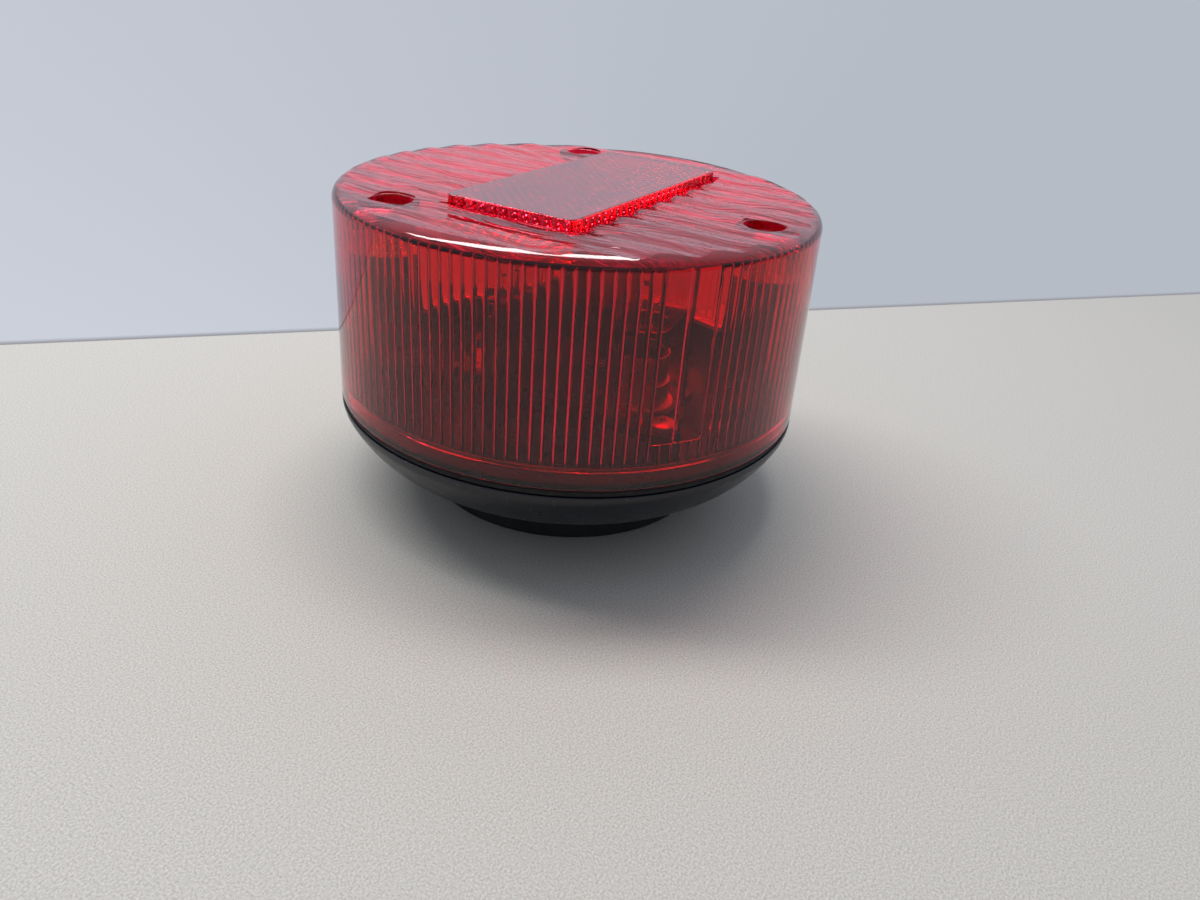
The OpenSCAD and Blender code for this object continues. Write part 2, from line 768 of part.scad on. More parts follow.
at_tail() bulb_leads(tail_glass_r, tail_tip_z);  // tail_bulb_leads
at_tail() bulb_filament(tail_glass_r, tail_tip_z);  // tail_bulb_filament
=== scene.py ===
import json

import bmesh
import bpy
import numpy as np
from mathutils import Matrix, Vector


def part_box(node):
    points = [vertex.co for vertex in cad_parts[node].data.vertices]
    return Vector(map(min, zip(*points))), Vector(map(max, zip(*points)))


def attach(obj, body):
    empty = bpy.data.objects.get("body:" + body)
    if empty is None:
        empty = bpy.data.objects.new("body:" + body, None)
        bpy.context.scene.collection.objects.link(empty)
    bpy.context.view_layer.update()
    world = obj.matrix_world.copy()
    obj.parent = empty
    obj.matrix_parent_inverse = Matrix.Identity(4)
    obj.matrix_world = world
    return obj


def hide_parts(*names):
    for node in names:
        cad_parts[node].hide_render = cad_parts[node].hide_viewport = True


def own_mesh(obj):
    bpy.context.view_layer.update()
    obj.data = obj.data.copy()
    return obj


bl_info = {
    "name": "Round tail light",
    "version": (1, 0, 0),
    "blender": (4, 5, 0),
    "location": "View3D > Sidebar > Tail Light",
    "description": "Builds the shown surfaces and finishes of a round tail light on its frame",
    "category": "Object",
}

MM = 0.001
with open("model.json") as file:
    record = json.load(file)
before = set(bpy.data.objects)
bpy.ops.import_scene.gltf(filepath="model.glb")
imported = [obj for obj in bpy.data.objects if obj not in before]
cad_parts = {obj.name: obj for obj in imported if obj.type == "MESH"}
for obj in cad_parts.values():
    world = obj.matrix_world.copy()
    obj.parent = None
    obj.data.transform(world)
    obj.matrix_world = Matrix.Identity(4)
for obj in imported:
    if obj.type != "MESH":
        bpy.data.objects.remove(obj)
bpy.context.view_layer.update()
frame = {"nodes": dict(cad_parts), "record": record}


def span(node):
    """Lowest and highest corner of a frame node, in millimetres."""
    low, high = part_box(node)
    return np.array(low) / MM, np.array(high) / MM


# Sizes that the nodes' boxes don't give, in millimetres
LENS_WALL = 2.7
CEILING_DROP = 3.4  # from the lens face to the ceiling inside it
CARRIER_T = 2.5
FLANGE_T = 1.6  # the grommet's upper flange
SCREW_CIRCLE = 48.0
SCREW_ANGLES = np.radians([30, 150, 270])
SCREW_PLACES = [(SCREW_CIRCLE * np.cos(a), SCREW_CIRCLE * np.sin(a)) for a in SCREW_ANGLES]
CARRIER_SCREW_PLACES = [(-10.0, -33.0), (10.0, 33.0)]
BOLT_PLACES = [(-22.5, 0), (22.5, 0)]

# Levels and radii that the frame gives, in millimetres
LENS_LOW, LENS_HIGH = span("lens")
LENS_R = LENS_HIGH[0]
LENS_Z, FACE_Z = LENS_LOW[2], LENS_HIGH[2]
CEILING_Z = FACE_Z - CEILING_DROP
PAD_HIGH = span("mounting_pad")[1]
FOOT_R, FOOT_H = PAD_HIGH[0], PAD_HIGH[2]
RIM_Z = span("lens_gasket")[0][2]
FLOOR_Z = span("cable_grommet")[1][2] - FLANGE_T
POST_Z = span("base_housing")[1][2]
RECESS_Z = span("screw_washers")[0][2]
INSERT_L = POST_Z - span("post_inserts")[0][2]
CARRIER_TOP = span("lamp_carrier")[1][2]
CARRIER_Z = CARRIER_TOP - CARRIER_T
REFLECTOR_LOW, REFLECTOR_HIGH = span("reflex_reflector")


class TailLightSizes(bpy.types.PropertyGroup):
    """Sizes of the shown surfaces that the frame's boxes don't give, in metres"""

    wave_pitch: bpy.props.FloatProperty(
        name="Wave pitch", description="Distance between wave crests on the lens face",
        default=9.5 * MM, unit="LENGTH")
    wave_height: bpy.props.FloatProperty(
        name="Wave height", description="Trough to crest", default=0.7 * MM, unit="LENGTH")
    edge_radius: bpy.props.FloatProperty(
        name="Edge radius", description="Rounding between lens wall and face",
        default=3.7 * MM, unit="LENGTH")
    flute_count: bpy.props.IntProperty(
        name="Flutes", description="Upright flutes inside the lens wall", default=144)
    flute_depth: bpy.props.FloatProperty(
        name="Flute depth", description="Ridge to trough", default=0.42 * MM, unit="LENGTH")
    prism_pitch: bpy.props.FloatProperty(
        name="Prism pitch", description="Pitch of the reflector's prisms",
        default=2.8 * MM, unit="LENGTH")
    bowl_bulge: bpy.props.FloatProperty(
        name="Bowl bulge", description="Bulge of the bowl's side beyond a straight cone",
        default=4.0 * MM, unit="LENGTH")


class TailLightColours(bpy.types.PropertyGroup):
    """Colours of the finishes, as sRGB hex values"""

    lens_red: bpy.props.StringProperty(
        name="Lens red", description="What one wall of the lens lets through", default="F81A3E")
    reflector_red: bpy.props.StringProperty(
        name="Reflector red", description="What the reflector lets through", default="FA3450")
    bowl_black: bpy.props.StringProperty(
        name="Bowl black", description="Moulded bowl and carrier", default="080B14")
    rubber_black: bpy.props.StringProperty(
        name="Rubber black", description="Foot, gasket, grommet and washers", default="05070B")


# Colours and nodes
def linear(hex_colour):
    """The linear red, green, blue and alpha of an sRGB hex value."""
    values = np.array([int(hex_colour[i:i + 2], 16) for i in (0, 2, 4)]) / 255
    low, high = values / 12.92, ((values + 0.055) / 1.055) ** 2.4
    return (*np.where(values <= 0.04045, low, high).tolist(), 1.0)


def add(tree, kind, inputs=(), **settings):
    """Adds a node. Settings are its properties; inputs are values or sockets to link, by name."""
    node = tree.nodes.new(kind)
    for name, value in settings.items():
        setattr(node, name, value)
    for name, value in dict(inputs).items():
        if isinstance(value, bpy.types.NodeSocket):
            tree.links.new(value, node.inputs[name])
        else:
            node.inputs[name].default_value = value
    return node


def open_material(name):
    """An empty material, its node tree and the Object coordinates that its patterns follow."""
    material = bpy.data.materials.new(name)
    material.use_nodes = True
    tree = material.node_tree
    tree.nodes.clear()
    return material, tree, add(tree, "ShaderNodeTexCoord").outputs["Object"]


def close_material(tree, shader):
    """Sends a shader to the material's output."""
    add(tree, "ShaderNodeOutputMaterial", {"Surface": shader.outputs[0]})


def blotches(tree, place, grain_mm, low, high, detail=4.0):
    """Noise with patches of a real size, spread between two values."""
    noise = add(tree, "ShaderNodeTexNoise",
                {"Vector": place, "Scale": 1 / (grain_mm * MM), "Detail": detail})
    spread = add(tree, "ShaderNodeMapRange",
                 {"Value": noise.outputs["Fac"], "From Min": 0.3, "From Max": 0.7,
                  "To Min": low, "To Max": high})
    return spread.outputs["Result"]


def grain(tree, place, grain_mm, depth_mm, strength, detail=2.0):
    """Bumps of a real size and depth."""
    height = blotches(tree, place, grain_mm, 0.0, 1.0, detail)
    bump = add(tree, "ShaderNodeBump",
               {"Height": height, "Distance": depth_mm * MM, "Strength": strength})
    return bump.outputs["Normal"]


def lit_through(tree, clear, tint):
    """A clear shader that shadow rays pass with a tint, so that what is behind it is lit."""
    passing = add(tree, "ShaderNodeBsdfTransparent", {"Color": linear(tint)})
    path = add(tree, "ShaderNodeLightPath")
    return add(tree, "ShaderNodeMixShader", {
        0: path.outputs["Is Shadow Ray"], 1: clear.outputs[0], 2: passing.outputs[0]})


def clear_red_acrylic(name, red, clearness, streak_mm=0.0, haze=0.0):
    """Clear red acrylic, injection moulded: deep saturated red where light crosses it, a glassy
    skin that mirrors the room at low angles, and the faint ripple that the flow of the melt
    leaves. A thicker face has flow lines 1 mm wide and 15 mm long too, and a milky share, haze,
    which makes it glow a lighter red than the wall."""
    material, tree, place = open_material(name)
    normal, share = grain(tree, place, 14, 0.05, 0.5, 1.0), clearness
    if haze:
        outward = add(tree, "ShaderNodeTexCoord").outputs["Normal"]
        upward = add(tree, "ShaderNodeSeparateXYZ", {0: outward})
        on_face = add(tree, "ShaderNodeMapRange", {
            "Value": upward.outputs["Z"], "From Min": 0.94, "From Max": 0.97}).outputs["Result"]
        bent = add(tree, "ShaderNodeTexNoise",
                   {"Vector": place, "Scale": 1 / (25 * MM), "Detail": 1.0})
        bend = add(tree, "ShaderNodeVectorMath",
                   {0: bent.outputs["Color"], "Scale": 12 * MM}, operation="SCALE")
        warped = add(tree, "ShaderNodeVectorMath",
                     {0: place, 1: bend.outputs["Vector"]}, operation="ADD")
        stretched = add(tree, "ShaderNodeMapping",
                        {"Vector": warped.outputs["Vector"], "Scale": (1.0, 0.08, 0.3)})
        lines = add(tree, "ShaderNodeBump", {
            "Height": blotches(tree, stretched.outputs["Vector"], 1.6, 0.0, 1.0, 2.0),
            "Distance": streak_mm * MM, "Strength": on_face, "Normal": normal})
        milky = add(tree, "ShaderNodeMapRange", {
            "Value": on_face, "To Min": clearness, "To Max": clearness - haze})
        normal, share = lines.outputs["Normal"], milky.outputs["Result"]
    glassy = add(tree, "ShaderNodeBsdfPrincipled", {
        "Base Color": linear(red), "Transmission Weight": share, "IOR": 1.49,
        "Roughness": blotches(tree, place, 5, 0.005, 0.025), "Normal": normal})
    close_material(tree, lit_through(tree, glassy, "8A0A06"))
    return material


def moulded_black_plastic(name, black):
    """Black ABS, injection moulded: a blue-black satin skin with a fine eroded grain and dust."""
    material, tree, place = open_material(name)
    dust = blotches(tree, place, 0.9, 0.0, 1.0, 8.0)
    dusted = add(tree, "ShaderNodeMapRange", {"Value": dust, "From Min": 0.93, "From Max": 1.0,
                                              "To Min": 0.0, "To Max": 0.35})
    colour = add(tree, "ShaderNodeMix", {0: dusted.outputs["Result"], 6: linear(black),
                                         7: linear("8C8F92")}, data_type="RGBA")
    shader = add(tree, "ShaderNodeBsdfPrincipled", {
        "Base Color": colour.outputs[2], "IOR": 1.52,
        "Roughness": blotches(tree, place, 6, 0.24, 0.36),
        "Normal": grain(tree, place, 0.35, 0.012, 0.6)})
    close_material(tree, shader)
    return material


def moulded_rubber(name, black):
    """Black nitrile rubber, pressed in a mould: matt, slightly bloomed, with a mottled grain."""
    material, tree, place = open_material(name)
    bloom = blotches(tree, place, 4, 0.0, 0.05)
    colour = add(tree, "ShaderNodeMix", {0: bloom, 6: linear(black), 7: linear("5A5C60")},
                 data_type="RGBA")
    shader = add(tree, "ShaderNodeBsdfPrincipled", {
        "Base Color": colour.outputs[2], "IOR": 1.5,
        "Roughness": blotches(tree, place, 3, 0.7, 0.9),
        "Normal": grain(tree, place, 0.5, 0.02, 0.7, 3.0)})
    close_material(tree, shader)
    return material


def worn_metal(name, bright, dull, rough_low, rough_high, grain_mm=1.2):
    """Metal with a bright skin that is dulled in patches, and fine handling marks."""
    material, tree, place = open_material(name)
    patches = blotches(tree, place, grain_mm * 3, 0.0, 1.0)
    colour = add(tree, "ShaderNodeMix", {0: patches, 6: linear(bright), 7: linear(dull)},
                 data_type="RGBA")
    shader = add(tree, "ShaderNodeBsdfPrincipled", {
        "Base Color": colour.outputs[2], "Metallic": 1.0,
        "Roughness": blotches(tree, place, grain_mm, rough_low, rough_high, 6.0),
        "Normal": grain(tree, place, 0.3, 0.004, 0.5)})
    close_material(tree, shader)
    return material


def moulded_phenolic(name):
    """Brown phenolic, hot pressed with wood flour: dull brown with short darker fibres."""
    material, tree, place = open_material(name)
    stretched = add(tree, "ShaderNodeMapping", {"Vector": place, "Scale": (1.0, 1.0, 0.2)})
    fibres = blotches(tree, stretched.outputs["Vector"], 0.6, 0.0, 1.0, 6.0)
    colour = add(tree, "ShaderNodeMix", {0: fibres, 6: linear("5A3218"), 7: linear("3A1E0E")},
                 data_type="RGBA")
    shader = add(tree, "ShaderNodeBsdfPrincipled", {
        "Base Color": colour.outputs[2], "IOR": 1.6,
        "Roughness": blotches(tree, place, 1.0, 0.3, 0.5)})
    close_material(tree, shader)
    return material


def blown_glass(name):
    """Clear soda-lime glass, blown: colourless, sharp reflections and a thin smoky film inside."""
    material, tree, place = open_material(name)
    shader = add(tree, "ShaderNodeBsdfPrincipled", {
        "Base Color": linear("F4F6F4"), "Transmission Weight": 1.0, "IOR": 1.52,
        "Roughness": blotches(tree, place, 3, 0.0, 0.03)})
    close_material(tree, lit_through(tree, shader, "F0F2F0"))
    return material


def fused_black_glass(name):
    """Black insulating glass, fused into the bulb cap: glossy near-black with a drawn-in skin."""
    material, tree, place = open_material(name)
    shader = add(tree, "ShaderNodeBsdfPrincipled", {
        "Base Color": linear("101014"), "IOR": 1.55,
        "Roughness": blotches(tree, place, 1.5, 0.08, 0.2)})
    close_material(tree, shader)
    return material


MATERIALS = {}


def make_materials(colours):
    """One material for each of the record's slots."""
    MATERIALS.update({
        "red_lens": clear_red_acrylic("clear_red_acrylic", colours.lens_red, 1.0, 0.18, 0.07),
        "red_reflector": clear_red_acrylic("prismatic_red_acrylic", colours.reflector_red, 0.97),
        "black_plastic": moulded_black_plastic("moulded_black_abs", colours.bowl_black),
        "foot_rubber": moulded_rubber("pressed_nitrile_rubber", colours.rubber_black),
        "seal_rubber": moulded_rubber("sealing_rubber", colours.rubber_black),
        "plated_steel": worn_metal("zinc_plated_steel", "DCE0E4", "B4B8BC", 0.28, 0.46),
        "nickel_plate": worn_metal("nickel_plated_brass", "E0DACE", "BCB4A4", 0.26, 0.42),
        "brass": worn_metal("rolled_brass", "D2AC60", "9C7A3C", 0.2, 0.4),
        "phenolic": moulded_phenolic("pressed_phenolic"),
        "bulb_glass": blown_glass("blown_soda_glass"),
        "black_glass": fused_black_glass("fused_black_glass"),
        "solder": worn_metal("lead_tin_solder", "A8AAAE", "84868A", 0.3, 0.5, 0.6),
        "tungsten": worn_metal("drawn_tungsten", "6A6A70", "4A4A50", 0.3, 0.5, 0.4),
    })


# Meshes
def grid_faces(rows, columns, close_rows=False):
    """Quads between neighbouring points of a grid whose columns go all the way round."""
    i = np.arange(rows if close_rows else rows - 1)[:, None]
    j = np.arange(columns)[None, :]
    up, on = (i + 1) % rows, (j + 1) % columns
    corners = [i * columns + j, i * columns + on, up * columns + on, up * columns + j]
    return np.stack(corners, axis=-1).reshape(-1, 4)


def turned(profile, steps=192, close=False):
    """A profile of (radius, height) points carried round the Z axis: x = r cos a, y = r sin a.
    It runs anticlockwise, out along the bottom and up the outside, so that faces look outward."""
    r, z = np.array(profile, float).T[:, :, None]
    a = np.linspace(0, 2 * np.pi, steps, endpoint=False)
    points = np.stack([r * np.cos(a), r * np.sin(a), z + 0 * a], axis=-1).reshape(-1, 3)
    return points, grid_faces(len(profile), steps, close)


def moved(skin, x, y, z=0):
    """A skin at another place."""
    return skin[0] + np.array([x, y, z]), skin[1]


def post(radius, low, high, steps=64):
    """A closed round post between two heights."""
    return turned([(0, low), (radius, low), (radius, high), (0, high)], steps)


def together(*skins):
    """Several closed skins that don't meet, as one."""
    points, faces, count = [], [], 0
    for skin_points, skin_faces in skins:
        points.append(np.asarray(skin_points, float))
        faces += [[corner + count for corner in face] for face in skin_faces]
        count += len(points[-1])
    return np.concatenate(points), faces


def inside_out(skin):
    """A closed skin as the wall of a hollow."""
    return skin[0], [list(face)[::-1] for face in skin[1]]


def at(places, skin):
    """A skin at each of some places."""
    return together(*[moved(skin, x, y) for x, y in places])


def block(low, high):
    """A closed block between two corners."""
    corners = np.array([[x, y, z] for z in (0, 1) for x, y in ((0, 0), (1, 0), (1, 1), (0, 1))])
    points = np.array(low) + corners * (np.array(high) - np.array(low))
    sides = [[0, 1, 5, 4], [1, 2, 6, 5], [2, 3, 7, 6], [3, 0, 4, 7], [3, 2, 1, 0], [4, 5, 6, 7]]
    return points, sides


def arc(middle, radius, start, end, steps):
    """Points on an arc, from a start to an end angle in degrees."""
    a = np.radians(np.linspace(start, end, steps))
    x, z = middle[0] + radius * np.cos(a), middle[1] + radius * np.sin(a)
    return np.stack([x, z], axis=-1).tolist()


def mesh_object(name, skin):
    """A mesh object from points in millimetres and faces, with its doubles merged."""
    points, faces = skin
    mesh = bpy.data.meshes.new(name)
    mesh.from_pydata((np.asarray(points) * MM).tolist(), [], [list(face) for face in faces])
    work = bmesh.new()
    work.from_mesh(mesh)
    bmesh.ops.remove_doubles(work, verts=work.verts, dist=1e-7)
    bmesh.ops.dissolve_degenerate(work, dist=1e-8, edges=work.edges)
    work.to_mesh(mesh)
    work.free()
    obj = bpy.data.objects.new(name, mesh)
    bpy.context.scene.collection.objects.link(obj)
    return obj


def shaped(name, start, *steps):
    """A skin that other closed skins are joined to, cut from or meet, one after the other."""
    obj = mesh_object(name, start)
    tools = []
    for kind, skin in steps:
        tools.append(mesh_object("tool", skin))
        change = obj.modifiers.new(kind, "BOOLEAN")
        change.operation, change.solver, change.object = kind, "EXACT", tools[-1]
    bpy.context.view_layer.update()
    evaluated = obj.evaluated_get(bpy.context.evaluated_depsgraph_get())
    obj.data = bpy.data.meshes.new_from_object(evaluated)
    obj.modifiers.clear()
    for tool in tools:
        bpy.data.objects.remove(tool)
    return obj


def dress(obj, body, slot, node, crease=32):
    """Smooth shading up to a crease angle, the slot's material, the body and the replaced node."""
    obj.data.shade_smooth()
    obj.data.set_sharp_from_angle(angle=np.radians(crease))
    obj.data.materials.clear()
    obj.data.materials.append(MATERIALS[slot])
    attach(obj, body)
    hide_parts(node)


# Lens
def wave_block(sizes):
    """Everything under the waves, z = crest - height (1 - cos(2 pi x / pitch)) / 2, along Y."""
    pitch, height = sizes.wave_pitch / MM, sizes.wave_height / MM
    reach, bottom, crest, steps = LENS_R + 2, LENS_Z - 2, FACE_Z - 0.01, 20
    x = np.arange(-np.ceil(reach / pitch), np.ceil(reach / pitch) + 0.001, 1 / steps) * pitch
    top = crest - height * (1 - np.cos(2 * np.pi * x / pitch)) / 2
    loop = np.concatenate([[[x[0], bottom], [x[-1], bottom]], np.stack([x, top], -1)[::-1]])
    y = np.linspace(reach, -reach, 41)[:, None]
    n = len(loop)
    points = np.stack(np.broadcast_arrays(loop[:, 0], y, loop[:, 1]), -1).reshape(-1, 3)
    faces = grid_faces(len(y), n).tolist()
    faces += [list(range(n))[::-1], list(range(len(points) - n, len(points)))]
    return points, faces


def lens_hollow(sizes):
    """Inside of the lens as radius(angle, height): a step for the bowl's lip, a ring whose sloping
    top shows as a bright line, then flutes with broad flat ridges, r = valley - depth (1 - u^6),
    faded in and out as quarter circles at their ends, with one smooth upright land and its rib, up
    to a ceiling that is higher beside the wall."""
    columns = sizes.flute_count * 12
    turn = 2 * np.pi * np.arange(columns) / columns
    valley, depth = LENS_R - LENS_WALL, sizes.flute_depth / MM
    ridge, root, spigot = valley - depth, valley - depth / 2, valley + 0.2
    low, top = LENS_Z + 4.7, FACE_Z - 2.8
    land_start, end_l = low + 4.9, 1.2
    u = (turn * sizes.flute_count / (2 * np.pi)) % 1 * 2 - 1
    flute = 1 - u ** 6
    away = np.abs((turn - np.radians(234) + np.pi) % (2 * np.pi) - np.pi) * ridge
    rib = 0.7 * np.sqrt(np.clip(1 - (away / 0.8) ** 2, 0, 1))
    land = ridge - 0.4 - rib

    def fluted(share, with_land):
        radius = valley - depth * share * flute - (1 - share) * depth * 0.5
        return np.where((away < 6.0) & with_land, land, radius)

    quarter = np.radians(np.linspace(0, 90, 7))
    ends = list(zip(end_l * (1 - np.cos(quarter)), np.sin(quarter)))
    rows = [(LENS_Z - 1, 0), (LENS_Z - 1, spigot), (low - 1.2, spigot), (low - 1.2, root - 0.7),
            (low - 0.8, root - 0.7), (low - 0.7, root - 0.6), (low - 0.2, root - 0.1)]
    rows += [(low + rise, fluted(share, False)) for rise, share in ends]
    rows += [(land_start, fluted(1, False)), (land_start, fluted(1, True))]
    rows += [(top - rise, fluted(share, True)) for rise, share in ends[::-1]]
    rows += [(top, root), (top + 0.2, root), (top + 0.2, root - 2), (CEILING_Z, root - 4),
             (CEILING_Z, 0)]
    z, r = [np.array([row[i] + 0 * turn for row in rows]) for i in (0, 1)]
    points = np.stack([r * np.cos(turn), r * np.sin(turn), z], axis=-1).reshape(-1, 3)
    return points, grid_faces(len(rows), columns)


def soft_chamfer(radius, top, edge):
    """The edge from the wall to the face: its direction turns fast, then slowly round 62 degrees,
    which leaves a nearly flat band, and fast again. Each point is the sum of the turns before."""
    a = np.radians(np.linspace(0, 90, 46))
    middle = (a[1:] + a[:-1]) / 2
    spread = np.interp(np.degrees(middle), [55, 56, 68, 69], [0.7, 2.3, 2.3, 0.8])
    bend = edge * spread * (a[1] - a[0])
    x = radius - np.cumsum(bend * np.sin(middle))
    z = np.cumsum(bend * np.cos(middle))
    return [(radius, top - z[-1]), *np.stack([x, z - z[-1] + top], -1).tolist()]


def build_lens(sizes):
    """The lens: turned outside, waves on top, fluted inside, bosses round the screw recesses."""
    edge, top_r, over = sizes.edge_radius / MM, LENS_R - 1, FACE_Z + 0.4
    rounding = soft_chamfer(top_r, FACE_Z, edge)
    outside = turned([(0, LENS_Z), (LENS_R - 0.2, LENS_Z), (LENS_R, LENS_Z + 0.2),
                      (LENS_R - 0.01, LENS_Z + 1), (top_r, FACE_Z - edge - 0.5), *rounding,
                      (rounding[-1][0] - 0.5, over), (0, over)], 288)
    boss = post(6.6, POST_Z + 0.3, CEILING_Z + 1.2)
    hole_r, recess_r, flare_r = 2.3, 4.9, 5.3
    recess = turned([(0, POST_Z), (hole_r, POST_Z), (hole_r, RECESS_Z), (recess_r, RECESS_Z),
                     *arc((flare_r, FACE_Z - 0.9), 0.4, 180, 90, 5), (flare_r, FACE_Z + 1),
                     (0, FACE_Z + 1)], 72)
    seat_low, seat_high = REFLECTOR_LOW - 0.9, REFLECTOR_HIGH + 0.9
    seat_low[2], seat_high[2] = REFLECTOR_LOW[2], FACE_Z + 1
    lens = shaped("fluted_lens", outside, ("INTERSECT", wave_block(sizes)),
                  ("DIFFERENCE", lens_hollow(sizes)), ("UNION", at(SCREW_PLACES, boss)),
                  ("DIFFERENCE", together(at(SCREW_PLACES, recess), block(seat_low, seat_high))))
    dress(lens, "lens_cover", "red_lens", "lens")


# Reflector
def rounded_corners(points, low, high, radius):
    """Points of a rectangle, moved so that its corners are round. With q the distance past a
    corner's centre along X and Y, q becomes q max(q) / |q|, which makes the corner's square a
    quarter disc."""
    middle, half = (low[:2] + high[:2]) / 2, (high[:2] - low[:2]) / 2
    out = points[:, :2] - middle
    q = np.clip(np.abs(out) - (half - radius), 0, None)
    length = np.hypot(q[:, 0], q[:, 1])
    share = q.max(axis=1) / np.where(length > 0, length, 1)
    moved_by = np.sign(out) * q * (np.where(length > 0, share, 1) - 1)[:, None]
    return np.column_stack([points[:, :2] + moved_by, points[:, 2]])


def build_reflector(sizes):
    """One closed skin on a grid of eight cells a prism. Its rim bulges out in beads,
    inset = depth (1 - sqrt(1 - v v)), under a flat skin with a rounded edge, and its underside
    holds pyramids, height = depth max(p, q), with p and q the triangle waves along the diagonals
    x + y and x - y. Each cell is split along the groove that crosses it."""
    cells, bead_depth, prism_depth, gap = 8, 0.8, 1.05, 0.05
    skin, edge, inner_edge, corner_r = 0.6, 0.4, 0.5, 2.2
    low, high = REFLECTOR_LOW, REFLECTOR_HIGH
    pitch = sizes.prism_pitch / MM
    counts = [round((high[i] - low[i]) / pitch) * cells for i in (0, 1)]
    x, y = [np.linspace(low[i], high[i], counts[i] + 1) for i in (0, 1)]
    gx, gy = np.meshgrid(x, y, indexing="ij")
    n, m = gx.shape

    # Rim
    v = [(np.arange(count + 1) % cells) / cells * 2 - 1 for count in counts]
    inset = [bead_depth * (1 - np.sqrt(1 - each ** 2)) for each in v]
    for each in inset:
        each[[0, -1]] = 0
    rim_x, rim_y = gx.copy(), gy.copy()
    rim_y[:, 0] += inset[0]
    rim_y[:, -1] -= inset[0]
    rim_x[0, :] += inset[1]
    rim_x[-1, :] -= inset[1]
    rim = np.zeros_like(gx, bool)
    rim[[0, -1], :] = rim[:, [0, -1]] = True

    # Underside
    gi, gj = np.arange(n)[:, None], np.arange(m)[None, :]
    waves = [1 - np.abs(along / cells % 1 * 2 - 1) for along in (gi + gj, gi - gj)]
    z = low[2] + np.where(rim, 0, prism_depth * np.maximum(*waves) + gap)
    underside = np.stack([rim_x, rim_y, z], -1).reshape(-1, 3)
    a = (np.arange(n - 1)[:, None] * m + np.arange(m - 1)[None, :]).reshape(-1)
    b, c, d = a + 1, a + m + 1, a + m
    rising = ((gi - gj) % cells == cells // 2)[:-1, :-1].reshape(-1)
    under_faces = np.concatenate([np.stack([a, b, np.where(rising, c, d)], -1),
                                  np.stack([np.where(rising, a, b), c, d], -1)])

    # Side and top: loops round the rim, the last one on the flat, so that its shading stays level
    walk = np.concatenate([np.arange(n - 1) * m, (n - 1) * m + np.arange(m - 1),
                           np.arange(n - 1, 0, -1) * m + m - 1, np.arange(m - 1, 0, -1)])
    beads = np.stack([rim_x, rim_y], -1).reshape(-1, 2)[walk]
    straight = np.stack([gx, gy], -1).reshape(-1, 2)[walk]
    loops = [(beads, low[2]), (beads, high[2] - skin), (straight, high[2] - skin)]
    turns = np.radians(np.linspace(0, 90, 6))
    pulls = [(edge * (1 - np.cos(a)), edge * (1 - np.sin(a))) for a in turns]
    for pull, drop in [*pulls, (inner_edge, 0)]:
        loops.append((np.clip(straight, low[:2] + pull, high[:2] - pull), high[2] - drop))
    wall = np.concatenate([np.column_stack([xy, np.full(len(xy), z)]) for xy, z in loops])
    wall_faces = grid_faces(len(loops), len(walk)).tolist()
    wall_faces.append(list(range((len(loops) - 1) * len(walk), len(loops) * len(walk))))

    underside, wall = [rounded_corners(each, low, high, corner_r) for each in (underside, wall)]
    reflector = mesh_object("prismatic_reflector",
                            together((underside, under_faces.tolist()), (wall, wall_faces)))
    dress(reflector, "lens_cover", "red_reflector", "reflex_reflector", 20)


# Base
def bulged(start, end, bulge, steps=40):
    """A line pushed out along its normal by a parabola, 4 bulge t (1 - t)."""
    start, end = np.array(start), np.array(end)
    t = np.linspace(0, 1, steps)[:, None]
    along = end - start
    out = np.array([along[1], -along[0]]) / np.hypot(*along)
    return (start + along * t + out * bulge * 4 * t * (1 - t)).tolist()


